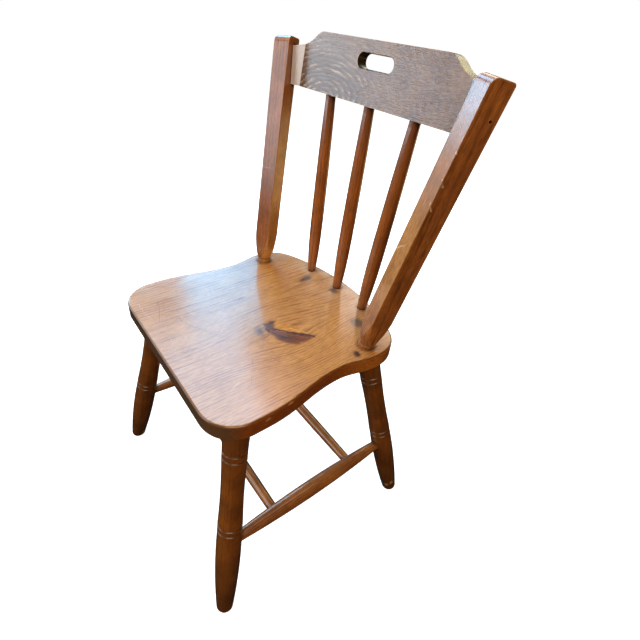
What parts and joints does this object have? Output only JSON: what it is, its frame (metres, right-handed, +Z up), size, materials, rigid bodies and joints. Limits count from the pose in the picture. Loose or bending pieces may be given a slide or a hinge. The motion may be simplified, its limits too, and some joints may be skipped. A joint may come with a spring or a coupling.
{
  "type": "spindle back side chair",
  "caption": "Wooden side chair with a shaped plank seat on splayed turned legs, joined by stretchers, and a raked back of spindles under a crest rail with a hand slot.",
  "frame": {"origin": "on the floor, under the middle of the chair", "axes": "+Z up, -Y the way the sitter faces, +X to the sitter's left"},
  "size_m": [0.5018, 0.4679, 0.8891],
  "materials": {
    "seat_wood": "stained pine under worn semi-gloss lacquer",
    "leg_wood": "stained pine under worn semi-gloss lacquer",
    "stretcher_wood": "stained pine under worn semi-gloss lacquer",
    "post_wood": "stained pine under worn semi-gloss lacquer",
    "crest_wood": "stained pine under worn semi-gloss lacquer",
    "spindle_wood": "stained pine under worn semi-gloss lacquer",
    "nail_steel": "dulled steel"
  },
  "bodies": {
    "root": {"seat": "seat_wood", "front_leg_left": "leg_wood", "front_leg_right": "leg_wood", "back_leg_left": "leg_wood", "back_leg_right": "leg_wood", "side_stretcher_left": "stretcher_wood", "side_stretcher_right": "stretcher_wood", "cross_stretcher_front": "stretcher_wood", "cross_stretcher_back": "stretcher_wood", "back_post_left": "post_wood", "back_post_right": "post_wood", "crest_rail": "crest_wood", "spindle_left": "spindle_wood", "spindle_middle": "spindle_wood", "spindle_right": "spindle_wood", "crest_nails": "nail_steel"}
  },
  "joints": []
}
